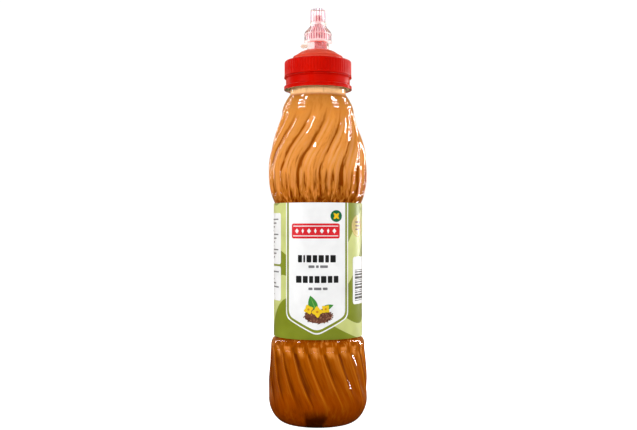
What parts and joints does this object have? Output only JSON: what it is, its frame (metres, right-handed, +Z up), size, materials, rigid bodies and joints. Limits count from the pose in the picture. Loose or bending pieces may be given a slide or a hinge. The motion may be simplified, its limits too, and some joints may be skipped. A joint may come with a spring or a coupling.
{
  "type": "mustard squeeze bottle",
  "caption": "Clear squeeze bottle of mustard with swirled flutes, a wrap label, a ribbed red screw cap and a clear capped spout.",
  "frame": {"origin": "centre of the base, on the surface that the bottle stands on", "axes": "+Z up along the bottle's axis; -Y is the side that the label's front panel faces, +X is to the viewer's right"},
  "size_m": [0.0608, 0.0608, 0.2554],
  "materials": {
    "clear_bottle": "clear glossy bottle plastic with moulded swirl flutes",
    "mustard": "smooth moist mustard paste, brown towards the base",
    "printed_label": "printed film label, two greens round a white panel, satin",
    "red_plastic": "moulded red plastic, satin gloss, fine grip ribs",
    "clear_cap": "clear moulded plastic with fine ribs"
  },
  "bodies": {
    "root": {"bottle": "clear_bottle", "mustard": "mustard", "label": "printed_label", "tamper_band": "red_plastic", "screw_cap": "red_plastic", "spout_cap": "clear_cap", "tear_ring": "clear_cap"}
  },
  "joints": []
}
